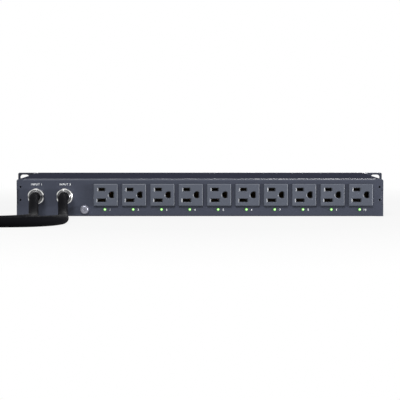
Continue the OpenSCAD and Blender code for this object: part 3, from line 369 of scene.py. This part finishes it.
def metal_finish(name, colour, dull, gloss, lines=9000.0, along=40.0, film=0.35, depth=0.000004,
                 edge=0.0002, edge_highlight=None):
    """Plated, turned or rolled metal with rounded edges, painted with an edge highlight colour where
    one is given.
    """
    made, tree, shader = new_finish(name, gloss, 1.0)
    skin = effect(tree, "worn_metal", {
        "Colour": colour, "Dull": dull, "Lines": lines, "Along": along, "Gloss": gloss,
        "Film": film})
    edges = effect(tree, "edge_wear_and_highlight", {
        "Colour": skin["Colour"], "Wear And Highlight": edge_highlight or colour, "Width": edge, "Amount": 0.7})
    bump = put(tree, "ShaderNodeBump", {
        "Strength": 1.0, "Distance": depth, "Height": skin["Height"], "Normal": edges["Normal"]})
    tree.links.new(edges["Colour"], shader.inputs["Base Color"])
    tree.links.new(skin["Roughness"], shader.inputs["Roughness"])
    tree.links.new(bump.outputs[0], shader.inputs["Normal"])
    return made


BRASS = screen_colour(212, 178, 98)
plug_rubber = grained_finish("plug_rubber", screen_colour(15, 15, 18), 0.0006, 0.00004, 0.58,
                             fleck=0.1, wear_and_highlight=screen_colour(40, 41, 44), edge_width=0.0007,
                             shine=0.08)
brass = metal_finish("brass", BRASS, screen_colour(150, 118, 66), 0.28)
dress(woven_finish("strap_weave", screen_colour(24, 25, 28), 0.0011), "coil_ties")
dress(plug_rubber, "plug_a", "plug_b")
dress(brass, "plug_blades")

# ---- Folded steel case ----
# The tray and the cover are folded from 1.2 mm zinc-plated sheet and coated with a fine matt
# blue-grey powder. The coat has a slight orange peel, and its folds are painted brighter, partly
# as wear and partly as a highlight. The cover's copy of the coat is painted darker, as shade on the
# top.
COAT = screen_colour(60, 64, 77)
# A lighter coat colour painted along the edges, partly for wear and partly for highlight.
COAT_WORN_AND_LIT = screen_colour(128, 132, 144)
tray_coat = grained_finish("tray_coat", COAT, 0.0007, 0.00005, 0.52, fleck=0.1,
                           wear_and_highlight=COAT_WORN_AND_LIT, edge_width=0.0005, wear_and_highlight_share=0.5, cloud=0.05,
                           shine=0.25)
# The cover's coat is painted darker than the tray's, as shade on the top; the powder is the same.
cover_coat_painted_shade = grained_finish("cover_coat_painted_shade", screen_colour(52, 54, 66), 0.0007, 0.00005, 0.5,
                            fleck=0.1, wear_and_highlight=COAT_WORN_AND_LIT, edge_width=0.0005, wear_and_highlight_share=0.4, cloud=0.05,
                            shine=0.0)
dress(tray_coat, "base_tray")
dress(cover_coat_painted_shade, "top_cover")

# ---- Rack ears ----
# Two angles of 2 mm steel in the same powder coat, each held by four countersunk screws.
# The screws, and the pan-head screws of the cover, are blackened steel with a cross recess.
ear_coat = grained_finish("ear_coat", screen_colour(52, 55, 66), 0.0007, 0.00005, 0.5, fleck=0.1,
                          wear_and_highlight=COAT_WORN_AND_LIT, edge_width=0.0005, wear_and_highlight_share=0.6, shine=0.15)
blackened = metal_finish("blackened_screws", screen_colour(58, 58, 62), screen_colour(34, 34, 37),
                         0.34, film=0.5)
dress(ear_coat, "rack_ear_left", "rack_ear_right")
dress(blackened, "ear_screws", "cover_screws")

# ---- Outlets ----
# Ten snap-in outlets moulded in dark grey glass-filled plastic. The face is spark-eroded to a
# fine matt grain. Its edges and the edges of the slots and of the ground hole are painted lighter,
# mostly as a highlight and partly as wear, and the sides deep in the slots are painted dark as shade.
# Painted highlight on the edges of the face, the slots and the ground hole, and painted shade deep
# inside the slots and the hole.
outlet_plastic = grained_finish(
    "outlet_plastic", screen_colour(74, 79, 91), 0.00035, 0.00002, 0.42, fleck=0.07,
    wear_and_highlight=screen_colour(150, 155, 168), edge_width=0.00045, wear_and_highlight_share=0.6, cloud=0.04, shine=0.5,
    painted_shade_from=-0.1227)
dress(outlet_plastic, *[f"outlet_{i}" for i in range(1, 11)])
# The contacts deep in the slots are painted dark brass as shade.
brass_in_painted_shade = metal_finish("brass_in_painted_shade", screen_colour(70, 58, 36), screen_colour(40, 33, 22),
                           0.5, film=0.6)
dress(brass_in_painted_shade, "line_contacts", "neutral_contacts", "ground_contacts")

# ---- Outlet lights ----
# Ten 3 mm green lights on one narrow board, each lens showing through a hole in the wall.
# The middle of a lens glows almost white, and its rim is a deeper green.
def middle_of(node):
    """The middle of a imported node's box."""
    low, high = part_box(node)
    return (low + high) / 2


LIGHT_D = 0.003
LIGHT_DX, LIGHT_Z = -0.001, 0.0079
FIRST_OUTLET_X, LAST_OUTLET_X = middle_of("outlet_1").x, middle_of("outlet_10").x
OUTLET_PITCH = (LAST_OUTLET_X - FIRST_OUTLET_X) / 9


def away_from(tree, aside, up):
    """How far a point lies from an axis, from its two distances to it."""
    return reckoned(tree, "SQRT", reckoned(
        tree, "ADD", reckoned(tree, "MULTIPLY", aside, aside), reckoned(tree, "MULTIPLY", up, up)))


lens_green, tree, shader = new_finish("green_lens", 0.22)
place = put(tree, "ShaderNodeTexCoord").outputs["Object"]
part = put(tree, "ShaderNodeSeparateXYZ", {0: place}).outputs
step = reckoned(tree, "DIVIDE", reckoned(
    tree, "SUBTRACT", part[0], FIRST_OUTLET_X + LIGHT_DX - OUTLET_PITCH / 2), OUTLET_PITCH)
aside = reckoned(tree, "MULTIPLY", reckoned(
    tree, "SUBTRACT", reckoned(tree, "FRACT", step), 0.5), OUTLET_PITCH)
up = reckoned(tree, "SUBTRACT", part[2], LIGHT_Z)
rim = stretched(tree, away_from(tree, aside, up), 0.0003, LIGHT_D / 2)
glow = blended(tree, rim, screen_colour(198, 250, 166), screen_colour(80, 166, 56))
tree.links.new(glow, shader.inputs["Base Color"])
tree.links.new(glow, shader.inputs["Emission Color"])
shader.inputs["Emission Strength"].default_value = 0.95
dress(lens_green, "outlet_leds")

# ---- Printing on the outlet wall ----
# White ink screen-printed on the powder coat: a number beside the light of each outlet, and a
# plain word and number over each input.
def printed_words(name, words, ink, face=-1.0, rides="root", weight=0.035):
    """Words in one piece, each given as text, capital height, x, y and z; face -1 looks to -Y."""
    mesh = bmesh.new()
    for text, tall, x, y, z in words:
        made = bpy.data.curves.new(name, "FONT")
        made.body = text
        made.align_x = "CENTER"
        made.size = tall / 0.73
        made.extrude = 0.00002
        made.offset = tall * weight
        made.resolution_u = 4
        made.space_character = 1.2
        solid = bpy.data.objects.new(name, made)
        scene.collection.objects.link(solid)
        bpy.context.view_layer.update()
        shape = bpy.data.meshes.new_from_object(
            solid.evaluated_get(bpy.context.evaluated_depsgraph_get()))
        shape.transform(Matrix.Translation((x, y, z - tall / 2))
                        @ Matrix.Rotation(math.pi if face > 0 else 0.0, 4, "Z")
                        @ Matrix.Rotation(math.pi / 2, 4, "X"))
        mesh.from_mesh(shape)
        bpy.data.meshes.remove(shape)
        bpy.data.objects.remove(solid)
        bpy.data.curves.remove(made)
    return piece_from(name, mesh, ink, rides)


def piece_from(name, mesh, finish, rides="root"):
    """Closes a mesh that is being built and makes it a piece that rides on a body."""
    made = bpy.data.meshes.new(name)
    mesh.to_mesh(made)
    mesh.free()
    made.materials.append(finish)
    obj = bpy.data.objects.new(name, made)
    scene.collection.objects.link(obj)
    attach(obj, rides)
    return obj


WALL_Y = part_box("base_tray")[0].y
INK_LIFT = 0.00003
INK_CAP = 0.0023
white_ink = grained_finish("white_ink", screen_colour(244, 247, 250), 0.0002, 0.000004, 0.55,
                           fleck=0.08)
numbers = [(str(i), INK_CAP, middle_of(f"outlet_{i}").x + 0.0051, WALL_Y - INK_LIFT, 0.0077)
           for i in range(1, 11)]
inputs = [(f"INPUT {i + 1}", INK_CAP, GLAND_X[i], WALL_Y - INK_LIFT, 0.0376) for i in (0, 1)]
printed_words("printed_numbers", numbers + inputs, white_ink)

# ---- Cable glands ----
# Two nickel-plated brass glands: a hexagon flange on the wall, a hexagon nut with a turned
# dome, a rubber seal squeezed round the cord, and a locknut inside. The plating is dull where
# it was only turned. The edges and a ring over each nut's rim are painted bright as a highlight.
# Painted highlight: the rounded edges of the nickel take a near-white colour.
nickel = metal_finish("nickel", screen_colour(104, 104, 106), screen_colour(66, 66, 68), 0.2,
                      film=0.35, edge=0.0004, edge_highlight=screen_colour(236, 236, 232))
tree = nickel.node_tree
shader = tree.nodes["Principled BSDF"]
place = put(tree, "ShaderNodeTexCoord").outputs["Object"]
part = put(tree, "ShaderNodeSeparateXYZ", {0: place}).outputs
aside = reckoned(tree, "SUBTRACT", reckoned(tree, "ABSOLUTE", reckoned(
    tree, "SUBTRACT", part[0], (GLAND_X[0] + GLAND_X[1]) / 2)), (GLAND_X[1] - GLAND_X[0]) / 2)
up = reckoned(tree, "SUBTRACT", part[2], GLAND_Z)
reach = away_from(tree, aside, up)
# Painted highlight: a bright ring round each gland's axis, over the rim of the nut.
painted_rim_highlight = reckoned(tree, "SUBTRACT", stretched(tree, reach, 0.0082, 0.0088),
                   stretched(tree, reach, 0.0091, 0.0098, 0.0, 0.6), True)
tree.links.new(blended(
    tree, painted_rim_highlight, shader.inputs["Base Color"].links[0].from_socket,
    screen_colour(226, 226, 224)), shader.inputs["Base Color"])
seal_rubber = grained_finish("seal_rubber", screen_colour(20, 20, 22), 0.0004, 0.00002, 0.6)
dress(nickel, "gland_bodies", "gland_nuts", "gland_locknuts")
dress(seal_rubber, "gland_seals")

# ---- Ground terminal ----
# A zinc-plated pan-head screw with a cross recess, driven into the wall over a toothed washer
# that bites through the coat to bare steel.
zinc = metal_finish("zinc", screen_colour(150, 151, 162), screen_colour(104, 105, 114), 0.3,
                    film=0.45)
dress(zinc, "ground_screw", "ground_washer")

# ---- Power path ----
# Copper bus bars lie on the outlets' tabs. Two black switch modules sit on an extruded
# aluminium heatsink, and red and green wires join them to the cords and the bars.
copper = metal_finish("copper", screen_colour(206, 132, 96), screen_colour(128, 82, 62), 0.3,
                      along=9000.0, lines=9000.0)
aluminium = metal_finish("aluminium", screen_colour(176, 178, 181), screen_colour(130, 132, 135),
                         0.36, lines=4000.0, along=4000.0, film=0.3)
module_epoxy = grained_finish("module_epoxy", screen_colour(34, 35, 38), 0.0004, 0.00002, 0.45,
                              wear_and_highlight=screen_colour(66, 67, 70))
dress(copper, "line_bus", "neutral_bus", "ground_bus", "output_links")
dress(aluminium, "heatsink")
dress(module_epoxy, "switch_modules", "key_switches")
dress(grained_finish("wire_red", screen_colour(150, 30, 26), 0.0004, 0.00001, 0.4), "power_wires")
dress(grained_finish("wire_green", screen_colour(60, 128, 48), 0.0004, 0.00001, 0.4),
      "ground_wires")

# ---- Circuit boards ----
# Glass-epoxy boards with etched copper tracks under a green mask, screwed to brass standoffs.
# What is soldered on the two flat boards is black.
def board_finish(name, axis, low, high):
    """The mask with its tracks between two levels along an axis, and dark components past them."""
    made, tree, shader = new_finish(name, 0.35)
    place = put(tree, "ShaderNodeTexCoord").outputs["Object"]
    tracks = put(tree, "ShaderNodeTexBrick", {
        "Vector": place, "Scale": 130.0, "Mortar Size": 0.035, "Color1": screen_colour(26, 84, 52),
        "Color2": screen_colour(24, 78, 49), "Mortar": screen_colour(40, 112, 66)}).outputs[0]
    mask = effect(tree, "fine_grain", {"Colour": tracks, "Size": 0.0004, "Fleck": 0.05,
                                       "Gloss": 0.32})
    level = put(tree, "ShaderNodeSeparateXYZ", {0: place}).outputs[axis]
    on_board = reckoned(tree, "MULTIPLY", reckoned(tree, "GREATER_THAN", level, low),
                        reckoned(tree, "LESS_THAN", level, high))
    shade = blended(tree, on_board, screen_colour(34, 35, 38), mask["Colour"])
    bump = put(tree, "ShaderNodeBump", {"Strength": 0.6, "Distance": 0.00004,
                                        "Height": mask["Height"]})
    tree.links.new(shade, shader.inputs["Base Color"])
    tree.links.new(mask["Roughness"], shader.inputs["Roughness"])
    tree.links.new(bump.outputs[0], shader.inputs["Normal"])
    return made


BOARD_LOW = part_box("control_board")[0].z
BOARD_T = 0.0016
dress(board_finish("main_boards", 2, BOARD_LOW - 0.0007, BOARD_LOW + BOARD_T + 0.0001),
      "control_board", "power_supply")
dress(board_finish("upright_boards", 2, 0.0, 0.05), "led_board", "key_board")
dress(brass, "board_standoffs")

# ---- Front panel ----
# A moulded panel in near-black plastic covers the front wall. It carries a smoked window over
# the display, four grey keys, four light pipes and the two shielded jacks.
panel_plastic = grained_finish("panel_plastic", screen_colour(42, 44, 50), 0.0005, 0.00003, 0.48,
                               fleck=0.08, wear_and_highlight=screen_colour(84, 87, 94), edge_width=0.0005)
dress(panel_plastic, "front_panel")
smoked, tree, shader = new_finish("smoked_window", 0.05)
haze = effect(tree, "fine_grain", {"Colour": screen_colour(104, 110, 118), "Size": 0.002,
                                   "Fleck": 0.03, "Gloss": 0.05, "Gloss Change": 0.02})
tree.links.new(haze["Colour"], shader.inputs["Base Color"])
tree.links.new(haze["Roughness"], shader.inputs["Roughness"])
shader.inputs["Transmission Weight"].default_value = 0.92
shader.inputs["IOR"].default_value = 1.49
dress(smoked, "display_window")
screen, tree, shader = new_finish("display_glass", 0.2)
lit = effect(tree, "fine_grain", {"Colour": screen_colour(14, 44, 72), "Size": 0.0006,
                                  "Fleck": 0.1, "Gloss": 0.2})
tree.links.new(lit["Colour"], shader.inputs["Base Color"])
tree.links.new(lit["Colour"], shader.inputs["Emission Color"])
tree.links.new(lit["Roughness"], shader.inputs["Roughness"])
shader.inputs["Emission Strength"].default_value = 1.6
dress(screen, "display_module")
digit_light, tree, shader = new_finish("digit_light", 0.3)
shader.inputs["Base Color"].default_value = screen_colour(176, 222, 236)
shader.inputs["Emission Color"].default_value = screen_colour(176, 222, 236)
shader.inputs["Emission Strength"].default_value = 2.2
DISPLAY_X = middle_of("display_module").x
DISPLAY_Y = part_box("display_module")[1].y + 0.00004
printed_words("display_digits", [
    ("120 V", 0.0052, DISPLAY_X + 0.0125, DISPLAY_Y, 0.0265),
    ("60 Hz", 0.0052, DISPLAY_X - 0.0125, DISPLAY_Y, 0.0265),
    ("8.6 A", 0.0040, DISPLAY_X + 0.0125, DISPLAY_Y, 0.0175),
    ("1 ON", 0.0040, DISPLAY_X - 0.0125, DISPLAY_Y, 0.0175)],
    digit_light, face=1.0, weight=0.01)

key_plastic = grained_finish("key_plastic", screen_colour(112, 116, 124), 0.00035, 0.00002, 0.45,
                             fleck=0.06, wear_and_highlight=screen_colour(160, 163, 168), edge_width=0.0003)
dress(key_plastic, "key_1", "key_2", "key_3", "key_4")


def printed_shape(name, outline, at, ink, rides):
    """A flat mark printed on a face that looks to +Y; the outline is x and z about its middle."""
    mesh = bmesh.new()
    corners = [mesh.verts.new((at[0] + x, at[1], at[2] + z)) for x, z in outline]
    face = mesh.faces.new(corners)
    back = bmesh.ops.extrude_face_region(mesh, geom=[face])["geom"]
    bmesh.ops.translate(mesh, vec=(0.0, 0.00004, 0.0),
                        verts=[part for part in back if isinstance(part, bmesh.types.BMVert)])
    bmesh.ops.recalc_face_normals(mesh, faces=mesh.faces)
    return piece_from(name, mesh, ink, rides)


MARK = 0.0011
panel_ink = grained_finish("panel_ink", screen_colour(206, 210, 214), 0.0002, 0.000004, 0.55,
                           fleck=0.08)
marks = {
    "key_1": [(-MARK, -0.8 * MARK), (MARK, -0.8 * MARK), (0.0, MARK)],
    "key_2": [(-MARK, 0.8 * MARK), (MARK, 0.8 * MARK), (0.0, -MARK)],
    "key_3": [(-0.8 * MARK, -MARK), (-0.8 * MARK, MARK), (MARK, 0.0)],
    "key_4": [(0.9 * MARK * math.cos(k * math.pi / 10), 0.9 * MARK * math.sin(k * math.pi / 10))
              for k in range(20)]}
for key, outline in marks.items():
    cap = middle_of(key)
    cap.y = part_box(key)[1].y + 0.00001
    printed_shape(f"{key}_mark", outline, cap, panel_ink, key)
PANEL_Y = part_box("front_panel")[1].y + 0.00001
PANEL_CAP = 0.0019
PIPES_X, PIPE_PITCH, PIPE_WORD_Z, JACK_WORD_Z = middle_of("light_pipes").x, 0.008, 0.0285, 0.0262
lamp_words = [(word, PANEL_CAP, PIPES_X + (1.5 - i) * PIPE_PITCH, PANEL_Y, PIPE_WORD_Z)
              for i, word in enumerate(("1", "2", "OUT", "!"))]
jack_words = [(word, PANEL_CAP, middle_of(jack).x, PANEL_Y, JACK_WORD_Z)
              for word, jack in (("NETWORK", "network_jack"), ("SENSOR", "sensor_jack"))]
printed_words("panel_words", lamp_words + jack_words, panel_ink, face=1.0, weight=0.015)

pipe, tree, shader = new_finish("light_pipe", 0.15)
clear = effect(tree, "fine_grain", {"Colour": screen_colour(206, 224, 210), "Size": 0.0005,
                                    "Fleck": 0.04, "Gloss": 0.15})
tree.links.new(clear["Colour"], shader.inputs["Base Color"])
tree.links.new(clear["Roughness"], shader.inputs["Roughness"])
dress(pipe, "light_pipes")

# ---- Jacks ----
# Each jack is a tin-plated shell folded round a black nylon body. Its gilded spring wires rise
# from the front edge of the mouth towards the back.
jack_shell, tree, shader = new_finish("jack_shell", 0.3)
plate = effect(tree, "worn_metal", {
    "Colour": screen_colour(188, 190, 192), "Dull": screen_colour(140, 142, 144),
    "Lines": 9000.0, "Along": 40.0, "Gloss": 0.28, "Film": 0.3})
place = put(tree, "ShaderNodeTexCoord").outputs["Object"]
part = put(tree, "ShaderNodeSeparateXYZ", {0: place}).outputs


def within(tree, value, middle, reach):
    return reckoned(tree, "LESS_THAN", reckoned(
        tree, "ABSOLUTE", reckoned(tree, "SUBTRACT", value, middle)), reach)


NETWORK_X, SENSOR_X = middle_of("network_jack").x, middle_of("sensor_jack").x
across = reckoned(tree, "MAXIMUM", within(tree, part[0], NETWORK_X, 0.00595),
                  within(tree, part[0], SENSOR_X, 0.00495))
mouth = reckoned(tree, "MULTIPLY", across, reckoned(
    tree, "MULTIPLY", within(tree, part[2], middle_of("network_jack").z, 0.0047),
    reckoned(tree, "LESS_THAN", part[1], PANEL_Y - 0.00006)))
tree.links.new(blended(tree, mouth, plate["Colour"], screen_colour(20, 20, 22)),
               shader.inputs["Base Color"])
tree.links.new(reckoned(tree, "SUBTRACT", 1.0, mouth), shader.inputs["Metallic"])
tree.links.new(stretched(tree, mouth, 0.0, 1.0, 0.3, 0.6), shader.inputs["Roughness"])
dress(jack_shell, "network_jack", "sensor_jack")
gilt = metal_finish("gilt", screen_colour(226, 184, 96), screen_colour(170, 134, 66), 0.25)
WIRE_PITCH, WIRE_SIZE = 0.00102, (0.00036, 0.0095, 0.0003, 1.0)
springs = bmesh.new()
for middle, count in ((NETWORK_X, 8), (SENSOR_X, 6)):
    for k in range(count):
        x = middle + (k - (count - 1) / 2) * WIRE_PITCH
        bmesh.ops.create_cube(springs, size=1.0, matrix=Matrix.Translation((x, 0.1164, 0.0152))
                              @ Matrix.Rotation(math.radians(-18.0), 4, "X")
                              @ Matrix.Diagonal(WIRE_SIZE))
piece_from("jack_springs", springs, gilt)

# ---- Lamps and floor ----
# Soft lamps: one high in front, a small one low at the right that catches the flared slots, one
# behind and one over the unit. A pale floor runs out to white.
def soft_lamp(name, at, aim, wide, tall, watts):
    made = bpy.data.lights.new(name, "AREA")
    made.shape = "RECTANGLE"
    made.size, made.size_y, made.energy = wide, tall, watts
    lamp = bpy.data.objects.new(name, made)
    lamp.location = at
    lamp.rotation_euler = (Vector(aim) - Vector(at)).to_track_quat("-Z", "Y").to_euler()
    scene.collection.objects.link(lamp)


soft_lamp("lamp_front", (-0.35, -1.55, 1.55), (0.0, -0.1, 0.0), 0.7, 0.4, 32.0)
soft_lamp("lamp_right", (1.6, -0.47, 0.18), (0.0, -0.12, 0.02), 0.3, 0.3, 34.0)
soft_lamp("lamp_back", (0.5, 2.0, 0.75), (0.0, 0.1, 0.0), 1.0, 0.6, 22.0)
soft_lamp("lamp_over", (0.2, 0.4, 1.7), (0.0, 0.0, 0.0), 1.4, 0.7, 3.0)

AMBIENT = 0.2
world = bpy.data.worlds.new("studio")
world.use_nodes = True
scene.world = world
tree = world.node_tree
backing = tree.nodes["Background"]
seen = put(tree, "ShaderNodeLightPath").outputs
direct = reckoned(tree, "MAXIMUM", seen["Is Camera Ray"], reckoned(
    tree, "MAXIMUM", seen["Is Glossy Ray"], seen["Is Transmission Ray"]))
backing.inputs["Color"].default_value = (1.0, 1.0, 1.0, 1.0)
tree.links.new(stretched(tree, direct, 0.0, 1.0, AMBIENT, 1.0), backing.inputs["Strength"])

floor_mesh = bmesh.new()
bmesh.ops.create_circle(floor_mesh, cap_ends=True, segments=96, radius=14.0)
floor_data = bpy.data.meshes.new("floor")
floor_mesh.to_mesh(floor_data)
floor_mesh.free()
floor = bpy.data.objects.new("floor", floor_data)
scene.collection.objects.link(floor)
pale = bpy.data.materials.new("pale_floor")
pale.use_nodes = True
tree = pale.node_tree
shader = tree.nodes["Principled BSDF"]
shader.inputs["Base Color"].default_value = (0.5, 0.5, 0.5, 1.0)
shader.inputs["Roughness"].default_value = 1.0
shader.inputs["Specular IOR Level"].default_value = 0.0
glow = put(tree, "ShaderNodeEmission", {"Color": (1.0, 1.0, 1.0, 1.0), "Strength": 1.0})
place = put(tree, "ShaderNodeTexCoord").outputs["Object"]
away = put(tree, "ShaderNodeVectorMath", {0: place}, operation="LENGTH").outputs[1]
seen = put(tree, "ShaderNodeLightPath").outputs
direct = reckoned(tree, "MAXIMUM", seen["Is Camera Ray"], reckoned(
    tree, "MAXIMUM", seen["Is Glossy Ray"], seen["Is Transmission Ray"]))
share = reckoned(tree, "MULTIPLY", stretched(tree, away, 0.35, 0.8, 0.86, 1.0), direct)
mix = put(tree, "ShaderNodeMixShader", {0: share, 1: shader.outputs[0], 2: glow.outputs[0]})
tree.links.new(mix.outputs[0], tree.nodes["Material Output"].inputs["Surface"])
floor_data.materials.append(pale)

scene.view_settings.view_transform = "Standard"
